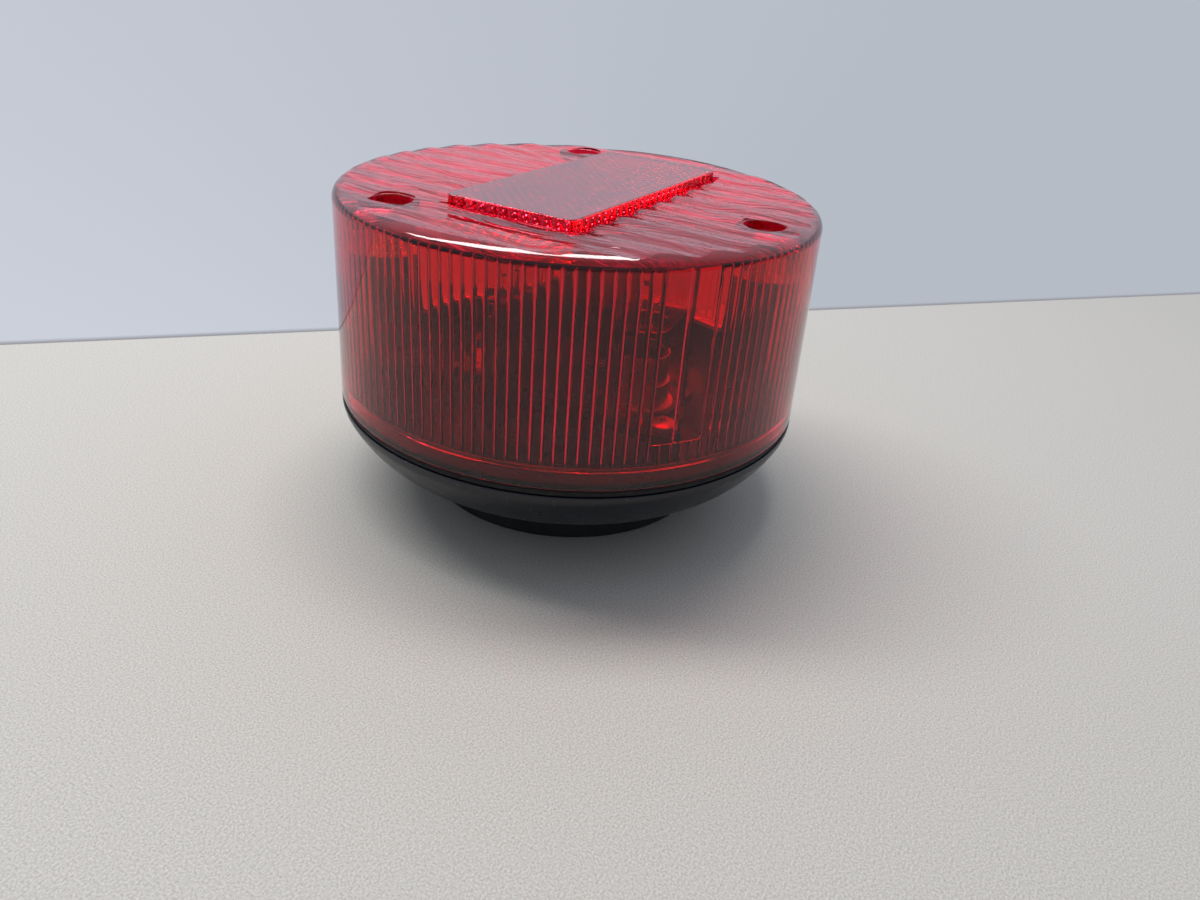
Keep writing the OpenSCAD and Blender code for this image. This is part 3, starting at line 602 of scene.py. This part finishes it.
def build_base(sizes):
    """The bowl: turned walls, with posts for the screws, ribs, pillars and bolt bosses inside."""
    bulge = sizes.bowl_bulge / MM
    band_z, groove_r, room_z = RIM_Z - 1.2, LENS_R - 0.25, FOOT_H + 1.5
    lip_r, lip_in, lip_top = LENS_R - 2.8, LENS_R - 5.2, LENS_Z + 3.2
    outer = bulged((FOOT_R, FOOT_H), (LENS_R, band_z), bulge)
    outer = [p for p in outer if p[0] <= LENS_R - 0.05]
    inner = bulged((FOOT_R - 1, FLOOR_Z), (lip_in, band_z), bulge)
    bowl = turned([(0, FOOT_H), *outer, (groove_r, band_z + 0.05), (groove_r, band_z + 0.25),
                   (LENS_R, band_z + 0.4), (LENS_R, RIM_Z - 0.2), (LENS_R - 0.2, RIM_Z),
                   (lip_r, RIM_Z), (lip_r, lip_top - 0.3), (lip_r - 0.3, lip_top),
                   (lip_in, lip_top), *inner[::-1], (0, FLOOR_Z)], 256)
    # The posts and ribs are cut to a room that ends inside the bowl's wall
    room_wall = bulged((FOOT_R - 0.5, room_z), (LENS_R - LENS_WALL, band_z), bulge)
    room = turned([(0, room_z), *[p for p in room_wall if p[0] < lip_in],
                   (lip_in + 0.5, band_z), (lip_in + 0.5, FACE_Z), (0, FACE_Z)])
    screw_post = turned([(0, 0), (5, 0), (5, POST_Z - 0.3), (4.7, POST_Z), (0, POST_Z)], 48)
    ribs = []
    for a in SCREW_ANGLES:
        points, faces = block((SCREW_CIRCLE, -1, 0), (LENS_R, 1, RIM_Z))
        turn = np.array([[np.cos(a), np.sin(a), 0], [-np.sin(a), np.cos(a), 0], [0, 0, 1]])
        ribs.append((points @ turn, faces))
    insides = together(at(SCREW_PLACES, screw_post),
                       at(CARRIER_SCREW_PLACES, post(4.2, 0, CARRIER_Z, 48)),
                       at(BOLT_PLACES, post(7.5, 0, FOOT_H + 12)))
    insert_z, insert_r, pilot_r = POST_Z - INSERT_L, 3.05, 2.3
    bore = turned([(0, insert_z - 4), (pilot_r, insert_z - 4), (pilot_r, insert_z),
                   (insert_r, insert_z), (insert_r, POST_Z + 1), (0, POST_Z + 1)], 48)
    drilled = together(at(SCREW_PLACES, bore),
                       at(CARRIER_SCREW_PLACES, post(1.95, CARRIER_Z - 9, CARRIER_Z + 1, 32)),
                       at(BOLT_PLACES, post(4.55, FOOT_H - 1, FOOT_H + 10, 48)),
                       post(7.0, 0, FLOOR_Z + 1))
    base = shaped("bowl_with_posts", insides, ("UNION", together(*ribs)), ("INTERSECT", room),
                  ("UNION", bowl), ("UNION", post(11, FOOT_H - 2, FOOT_H + 0.5)),
                  ("DIFFERENCE", drilled))
    dress(base, "base", "black_plastic", "base_housing")


def collar(radius, low, high, edge, steps):
    """The profile of a disc's rim, with both edges rounded."""
    return [*arc((radius - edge, low + edge), edge, -90, 0, steps),
            *arc((radius - edge, high - edge), edge, 0, 90, steps)]


def build_rubber():
    """Foot, gasket, grommet and washers, all turned, with the rounded edges of pressed rubber."""
    foot = turned([(0, 0), *collar(FOOT_R, 0, FOOT_H, 0.8, 7), (0, FOOT_H)], 256)
    bolt_holes = at(BOLT_PLACES, post(3.4, -1, FOOT_H + 1, 48))
    grooves = [turned([(r, -1), (r + 1.6, -1), (r + 1.3, 0.8), (r + 0.3, 0.8)], 192, True)
               for r in (FOOT_R - 5, FOOT_R - 9)]
    pad = shaped("ribbed_foot", foot, ("DIFFERENCE", post(9.6, -1, FOOT_H + 1)),
                 ("DIFFERENCE", post(11.1, FOOT_H - 2.2, FOOT_H + 1)),
                 ("DIFFERENCE", together(bolt_holes, *grooves)))
    dress(pad, "base", "foot_rubber", "mounting_pad")

    low, high = span("lens_gasket")
    inner = LENS_R - 2.75
    bead = arc((LENS_R - 1.1, (low[2] + high[2]) / 2), (high[2] - low[2]) / 2, -90, 90, 13)
    gasket = turned([(inner, low[2]), *bead, (inner, high[2])], 256, True)
    dress(mesh_object("lens_seal", gasket), "base", "seal_rubber", "lens_gasket")

    low, high = span("cable_grommet")
    neck, flange, bore, edge = 6.9, 9.0, 2.75, 0.5
    inside = [*arc((bore + edge, high[2] - edge), edge, 90, 180, 5),
              *arc((bore + edge, low[2] + edge), edge, 180, 270, 5)]
    grommet = turned([*collar(flange, low[2], FOOT_H - 2, edge, 5), (neck, FOOT_H - 2),
                      (neck, FLOOR_Z), *collar(flange, FLOOR_Z, high[2], edge, 5), *inside],
                     96, True)
    dress(mesh_object("wire_grommet", grommet), "base", "seal_rubber", "cable_grommet")

    low, high = span("screw_washers")
    bore, radius = 2.1, 4.2
    ring = turned([(bore, low[2]), *collar(radius, low[2], high[2], 0.3, 5), (bore, high[2])],
                  64, True)
    rings = mesh_object("sealing_rings", at(SCREW_PLACES, ring))
    dress(rings, "lens_cover", "seal_rubber", "screw_washers")


# Screws
def threaded(radius, pitch, depth, low, high, columns=24):
    """A threaded shank: radius = r - depth |2 frac(z / pitch - a / 2 pi) - 1|, its ends plain."""
    rows = int((high - low) / pitch * 6)
    z = np.linspace(low, high, rows)[:, None]
    a = 2 * np.pi * np.arange(columns) / columns
    groove = np.abs(2 * ((z / pitch - a / (2 * np.pi)) % 1) - 1)
    fade = np.clip(np.minimum(z - low, high - z) / pitch, 0, 1)
    r = radius - depth * groove * fade
    points = np.stack([r * np.cos(a), r * np.sin(a), z + 0 * a], -1).reshape(-1, 3)
    k = np.arange(columns)
    on, top = (k + 1) % columns, (rows - 1) * columns
    first, last = [np.full(columns, len(points) + i) for i in (0, 1)]
    faces = [*grid_faces(rows, columns).tolist(), *np.stack([first, on, k], -1).tolist(),
             *np.stack([last, top + k, top + on], -1).tolist()]
    return np.concatenate([points, [[0, 0, low], [0, 0, high]]]), faces


def screw_head(radius, height, seat):
    """A pan head: a short flank under a quarter of an ellipse."""
    flank = 0.55 * height
    profile = [(0, seat), (radius - 0.2, seat), (radius, seat + 0.2)]
    profile += [(radius * c, seat + flank + (height - flank) * s)
                for c, s in arc((0, 0), 1, 0, 90, 12)]
    return turned(profile, 72)


def cross_slots(depth, top):
    """Two crossing slots with tapered ends."""
    long, half_width, taper = 2, 0.42, 0.45
    skins = []
    for x, y in ((long, half_width), (half_width, long)):
        points, faces = block((-x, -y, top - depth), (x, y, top + 1))
        points[:4, :2] *= taper
        skins.append((points, faces))
    return skins


def screws(name, places, node, seat, head_r, slot_depth, shank_r):
    """Pan-head screws at some places, from the seat up to the node's top and down to its end."""
    low, high = span(node)
    top = high[2]
    slots = [("DIFFERENCE", at(places, slot)) for slot in cross_slots(slot_depth, top)]
    shank = threaded(shank_r, 0.7, 0.3, low[2], seat + 0.5)
    return shaped(name, at(places, screw_head(head_r, top - seat, seat)), *slots,
                  ("UNION", at(places, shank)))


def build_screws():
    """Lens screws and carrier screws: pan heads with a cross recess on threaded shanks."""
    washer_top = span("screw_washers")[1][2]
    piece = screws("lens_pan_screws", SCREW_PLACES, "lens_screws", washer_top, 3.6, 1.3, 2.0)
    dress(piece, "lens_cover", "plated_steel", "lens_screws")
    piece = screws("carrier_pan_screws", CARRIER_SCREW_PLACES, "carrier_screws", CARRIER_TOP,
                   3.5, 1.2, 1.9)
    dress(piece, "base", "plated_steel", "carrier_screws")


# Bulbs
def tube(path, radius, sides=10):
    """A round wire along a path: the circle stands across the path's direction at each point."""
    path = np.asarray(path, float)
    along = np.gradient(path, axis=0)
    along /= np.linalg.norm(along, axis=1)[:, None]
    side = np.cross(along, [0.31, 0.17, 0.93])
    side /= np.linalg.norm(side, axis=1)[:, None]
    other = np.cross(along, side)
    a = (2 * np.pi * np.arange(sides) / sides)[:, None]
    rings = path[:, None] + radius * (side[:, None] * np.cos(a) + other[:, None] * np.sin(a))
    n = len(path)
    faces = grid_faces(n, sides).tolist()
    faces += [list(range(sides))[::-1], list(range((n - 1) * sides, n * sides))]
    return rings.reshape(-1, 3), faces


def throat(neck, low, radius, middle, start):
    """Points on a quadratic curve from the straight neck to the globe,
    x = (1-t)^2 a + 2t(1-t) b + t^2 c."""
    a, b = np.array([neck, low - 2.5]), np.array([neck, low + 0.4])
    c = np.array([radius * np.cos(start), middle + radius * np.sin(start)])
    t = np.linspace(0, 1, 9)[:-1, None]
    return ((1 - t) ** 2 * a + 2 * t * (1 - t) * b + t ** 2 * c).tolist()


def build_bulb(lamp):
    """Glass as a turned hollow with its stem, lead wires that spread to the filament, and the
    filament as a helix, x = t, y = r cos(2 pi n t), z = r sin(2 pi n t), on a shallow arch."""
    low, high = span(lamp + "_bulb_glass")
    bottom, y = low[2], (low[1] + high[1]) / 2
    radius, wall, neck = high[0], 0.7, 6.9
    middle = high[2] - radius
    start = -np.arccos((neck + 0.6) / radius)
    globe_low = middle + radius * np.sin(start) - 1.2
    pinch = middle - 11.5 * radius / 12.5

    def outline(inset):
        return (throat(neck - inset, globe_low, radius - inset, middle, start)
                + arc((0, middle), radius - inset, np.degrees(start), 90, 36))

    outer = turned([(0, bottom), (neck - 0.3, bottom), (neck, bottom + 0.3), *outline(0)], 128)
    stem = [(0, pinch), (1.5, pinch - 0.2), (2.2, pinch - 1.5), (2.6, pinch - 3),
            (3.2, bottom + 2), (4.2, bottom + wall)]
    hollow = turned([*stem, (neck - wall, bottom + wall), *outline(wall)], 128)
    glass = mesh_object(lamp + "_lamp_glass", moved(together(outer, inside_out(hollow)), 0, y))
    dress(glass, lamp + "_bulb", "bulb_glass", lamp + "_bulb_glass", 40)

    half, filament_z = 3.6, middle - 0.2
    wires = []
    for s in (-1, 1):
        t = np.linspace(0, 1, 12)[:, None]
        foot, top = np.array([s * 1.4, 0, pinch - 2]), np.array([s * half, 0, filament_z])
        bow = np.array([s * 0.5, 0, 0]) * np.sin(np.pi * t)
        wires.append(tube(foot + (top - foot) * t + bow, 0.3))
    leads = mesh_object(lamp + "_lamp_leads", moved(together(*wires), 0, y))
    dress(leads, lamp + "_bulb", "nickel_plate", lamp + "_bulb_leads", 60)

    turns, coil_r, arch = 20, 0.38, 0.35
    t = np.linspace(0, 1, 21 * turns)
    a, hump = 2 * np.pi * turns * t, np.sin(np.pi * t)
    reach = hump ** 0.3 * coil_r
    coil = np.stack([half * (2 * t - 1), reach * np.cos(a),
                     filament_z + arch * hump + reach * np.sin(a)], -1)
    filament = mesh_object(lamp + "_lamp_filament", moved(tube(coil, 0.08, 6), 0, y))
    dress(filament, lamp + "_bulb", "tungsten", lamp + "_bulb_filament", 60)


def build_springs():
    """Contact springs: x = r cos a, y = r sin a, with z climbing little in the end coils and evenly
    between them."""
    wire, coils, steps, end_rise = 0.25, 5, 40, 0.55
    for lamp in ("stop", "tail"):
        low, high = span(lamp + "_spring")
        y, coil_r, length = (low[1] + high[1]) / 2, high[0] - wire, high[2] - low[2]
        rise = length - 2 * wire
        a = np.linspace(0, 2 * np.pi * coils, coils * steps + 1)
        z = np.interp(a / (2 * np.pi), [0, 1, coils - 1, coils],
                      [0, end_rise, rise - end_rise, rise])
        path = np.stack([coil_r * np.cos(a), y + coil_r * np.sin(a), low[2] + wire + z], -1)
        spring = mesh_object(lamp + "_contact_coil", tube(path, wire, 12))
        dress(spring, "base", "plated_steel", lamp + "_spring", 60)
        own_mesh(spring)


# Stage
CAMERA_HEIGHT = 46.56 * MM
CAMERA_DISTANCE = 217.35 * MM
CAMERA_AZIMUTH, CAMERA_YAW, CAMERA_PITCH, CAMERA_ROLL = np.radians([-60, 2.59, 28.9, 4.65])
# The straight joint between table and backdrop: where its normal points, how far it is, and where
# the band of painted shadow along it ends
JOINT_HEADING = np.radians(46.93)
JOINT_START, JOINT_END, BACKDROP_START = 110.4 * MM, 111.2 * MM, 115.0 * MM
ROOM_HEADING = np.radians(30)


def camera_axes():
    """Right, up and forward of the camera: turned by yaw, tipped by pitch, rolled about forward."""
    yaw, pitch, roll = CAMERA_YAW - CAMERA_AZIMUTH, CAMERA_PITCH, CAMERA_ROLL
    forward = Vector((np.sin(yaw) * np.cos(pitch), np.cos(yaw) * np.cos(pitch), -np.sin(pitch)))
    right = Vector((np.cos(yaw), -np.sin(yaw), 0))
    up = right.cross(forward)
    return (right * np.cos(roll) + up * np.sin(roll),
            up * np.cos(roll) - right * np.sin(roll), forward)


def place_camera():
    """A 26 mm lens on a 36 mm frame, at the photograph's place."""
    right, up, forward = camera_axes()
    camera = bpy.data.objects.new("camera", bpy.data.cameras.new("camera"))
    camera.data.lens, camera.data.sensor_width = 26.0, 36.0
    camera.data.clip_start = 0.01
    turn = Matrix((right, up, -forward)).transposed().to_4x4()
    back = Matrix.Rotation(CAMERA_AZIMUTH, 4, "Z") @ Vector((0, -CAMERA_DISTANCE, 0))
    place = back + Vector((0, 0, FACE_Z * MM + CAMERA_HEIGHT))
    camera.matrix_world = Matrix.Translation(place) @ turn
    bpy.context.scene.collection.objects.link(camera)
    bpy.context.scene.camera = camera


def board_material():
    """Painted board: pale warm grey with a faint mottle, and behind a straight joint a cooler
    backdrop that glows evenly, with painted shade that makes it a little darker to the right, and a
    grey band of painted shadow along the joint."""
    material, tree, place = open_material("painted_board")
    mottle = blotches(tree, place, 0.4, 0.0, 1.0, 3.0)
    near = add(tree, "ShaderNodeMix", {0: mottle, 6: linear("BAB5AC"), 7: linear("97928A")},
               data_type="RGBA")
    bumps = add(tree, "ShaderNodeBump",
                {"Height": mottle, "Distance": 0.03 * MM, "Strength": 0.5})
    board = add(tree, "ShaderNodeBsdfPrincipled", {
        "Base Color": near.outputs[2], "Roughness": 0.7, "Normal": bumps.outputs["Normal"]})

    away, along = np.cos(JOINT_HEADING), np.sin(JOINT_HEADING)
    across = add(tree, "ShaderNodeVectorMath", {0: place, 1: (away, along, 0)},
                 operation="DOT_PRODUCT").outputs["Value"]
    past = add(tree, "ShaderNodeMapRange",
               {"Value": across, "From Min": JOINT_START, "From Max": JOINT_END})
    beyond = add(tree, "ShaderNodeMapRange",
                 {"Value": across, "From Min": JOINT_END, "From Max": BACKDROP_START})
    # Painted shade: the backdrop's glow darkens from CBD0DB on the left to B6BCC6 on the right
    direction = add(tree, "ShaderNodeVectorMath", {0: place}, operation="NORMALIZE")
    sideways = add(tree, "ShaderNodeVectorMath",
                   {0: direction.outputs["Vector"], 1: (along, -away, 0)}, operation="DOT_PRODUCT")
    right = add(tree, "ShaderNodeMapRange",
                {"Value": sideways.outputs["Value"], "From Min": -0.8, "From Max": 0.6})
    backdrop_painted_shade = add(tree, "ShaderNodeMix", {0: right.outputs["Result"], 6: linear("CBD0DB"),
                                       7: linear("B6BCC6")}, data_type="RGBA")
    # Painted shadow: between the joint and the backdrop's start the glow rises from dark grey
    # 94949A, a band of shade along the joint
    wall = add(tree, "ShaderNodeMix", {0: beyond.outputs["Result"], 6: linear("94949A"),
                                       7: backdrop_painted_shade.outputs[2]}, data_type="RGBA")
    backdrop = add(tree, "ShaderNodeEmission", {"Color": wall.outputs[2]})
    close_material(tree, add(tree, "ShaderNodeMixShader", {
        0: past.outputs["Result"], 1: board.outputs[0], 2: backdrop.outputs[0]}))
    return material


def room_light():
    """A world that is brighter behind the tail light, and brighter higher up, where the face
    mirrors it."""
    world = bpy.data.worlds.new("soft_room")
    world.use_nodes = True
    tree = world.node_tree
    tree.nodes.clear()
    direction = add(tree, "ShaderNodeTexCoord").outputs["Generated"]
    side = add(tree, "ShaderNodeVectorMath",
               {0: direction, 1: (np.cos(ROOM_HEADING), np.sin(ROOM_HEADING), 0)},
               operation="DOT_PRODUCT")
    behind = add(tree, "ShaderNodeMapRange", {"Value": side.outputs["Value"], "From Min": -0.3,
                                              "From Max": 0.6, "To Min": 0.34, "To Max": 0.86})
    up = add(tree, "ShaderNodeSeparateXYZ", {0: direction}).outputs["Z"]
    rise = add(tree, "ShaderNodeMapRange", {"Value": up, "From Min": 0.14, "From Max": 0.28,
                                            "To Min": 0.78, "To Max": 1.5})
    strength = add(tree, "ShaderNodeMath", {0: behind.outputs["Result"], 1: rise.outputs["Result"]},
                   operation="MULTIPLY")
    glow = add(tree, "ShaderNodeBackground", {"Color": linear("DCE6F8"),
                                              "Strength": strength.outputs["Value"]})
    add(tree, "ShaderNodeOutputWorld", {"Surface": glow.outputs[0]})
    return world


def build_stage():
    """Floor, camera, world and a strip lamp overhead, across the picture, which draws the long
    highlight on the lens's edge."""
    # The floor's rim rises, so that the backdrop fills the picture's upper corners
    skin = inside_out(turned([(0, 0), (600, 0), (11000, 0), (12000, 700)], 96))
    floor = mesh_object("floor", skin)
    floor.data.materials.append(board_material())
    place_camera()
    scene = bpy.context.scene
    scene.view_settings.view_transform = "Standard"
    scene.world = room_light()
    light = bpy.data.lights.new("strip_lamp", "AREA")
    light.shape, light.size, light.size_y, light.energy = "RECTANGLE", 1.05, 0.18, 11.0
    lamp = bpy.data.objects.new("strip_lamp", light)
    scene.collection.objects.link(lamp)
    lamp.matrix_world = (Matrix.Rotation(CAMERA_AZIMUTH, 4, "Z")
                         @ Matrix.Translation((-0.32, 0.19, 0.9)))


class TAILLIGHT_OT_stage(bpy.types.Operator):
    """Makes the floor, the lamp, the world and the camera"""

    bl_idname = "taillight.stage"
    bl_label = "Stage"

    def execute(self, context):
        build_stage()
        return {"FINISHED"}


class TAILLIGHT_OT_lens(bpy.types.Operator):
    """Makes the fluted lens"""

    bl_idname = "taillight.lens"
    bl_label = "Lens"

    def execute(self, context):
        build_lens(context.scene.tail_light_sizes)
        return {"FINISHED"}


class TAILLIGHT_OT_reflector(bpy.types.Operator):
    """Makes the prismatic reflector"""

    bl_idname = "taillight.reflector"
    bl_label = "Reflector"

    def execute(self, context):
        build_reflector(context.scene.tail_light_sizes)
        return {"FINISHED"}


class TAILLIGHT_OT_base(bpy.types.Operator):
    """Makes the bowl with its posts"""

    bl_idname = "taillight.base"
    bl_label = "Bowl"

    def execute(self, context):
        build_base(context.scene.tail_light_sizes)
        return {"FINISHED"}


class TAILLIGHT_OT_rubber(bpy.types.Operator):
    """Makes the foot, gasket, grommet and washers"""

    bl_idname = "taillight.rubber"
    bl_label = "Rubber parts"

    def execute(self, context):
        build_rubber()
        return {"FINISHED"}


class TAILLIGHT_OT_screws(bpy.types.Operator):
    """Makes the lens screws and carrier screws"""

    bl_idname = "taillight.screws"
    bl_label = "Screws"

    def execute(self, context):
        build_screws()
        return {"FINISHED"}


class TAILLIGHT_OT_bulbs(bpy.types.Operator):
    """Makes glass, leads and filament of both bulbs"""

    bl_idname = "taillight.bulbs"
    bl_label = "Bulbs"

    def execute(self, context):
        for lamp in ("stop", "tail"):
            build_bulb(lamp)
        return {"FINISHED"}


class TAILLIGHT_OT_springs(bpy.types.Operator):
    """Makes the contact springs"""

    bl_idname = "taillight.springs"
    bl_label = "Springs"

    def execute(self, context):
        build_springs()
        return {"FINISHED"}


class TAILLIGHT_OT_frame_finish(bpy.types.Operator):
    """Gives every frame node that still shows its finish"""

    bl_idname = "taillight.frame_finish"
    bl_label = "Finish of the frame's nodes"

    def execute(self, context):
        for part in frame["record"]["subparts"]:
            node = frame["nodes"][part["node"]]
            for slot in node.material_slots:
                slot.material = MATERIALS[part["material_slot"]]
        return {"FINISHED"}


OPERATORS = (TAILLIGHT_OT_stage, TAILLIGHT_OT_frame_finish, TAILLIGHT_OT_lens,
             TAILLIGHT_OT_reflector, TAILLIGHT_OT_base, TAILLIGHT_OT_rubber,
             TAILLIGHT_OT_screws, TAILLIGHT_OT_bulbs, TAILLIGHT_OT_springs)


class TAILLIGHT_PT_panel(bpy.types.Panel):
    """Lists the steps in the sidebar"""

    bl_label = "Tail Light"
    bl_idname = "TAILLIGHT_PT_panel"
    bl_space_type = "VIEW_3D"
    bl_region_type = "UI"
    bl_category = "Tail Light"

    def draw(self, context):
        for operator in OPERATORS:
            self.layout.operator(operator.bl_idname)


CLASSES = (TailLightSizes, TailLightColours, *OPERATORS, TAILLIGHT_PT_panel)


def register():
    for each in CLASSES:
        bpy.utils.register_class(each)
    bpy.types.Scene.tail_light_sizes = bpy.props.PointerProperty(type=TailLightSizes)
    bpy.types.Scene.tail_light_colours = bpy.props.PointerProperty(type=TailLightColours)


def unregister():
    del bpy.types.Scene.tail_light_colours
    del bpy.types.Scene.tail_light_sizes
    for each in reversed(CLASSES):
        bpy.utils.unregister_class(each)


def main():
    """Runs every step in order and keeps the two boxes."""
    register()
    make_materials(bpy.context.scene.tail_light_colours)
    for operator in OPERATORS:
        group, name = operator.bl_idname.split(".")
        getattr(getattr(bpy.ops, group), name)()


if __name__ == "__main__":
    main()
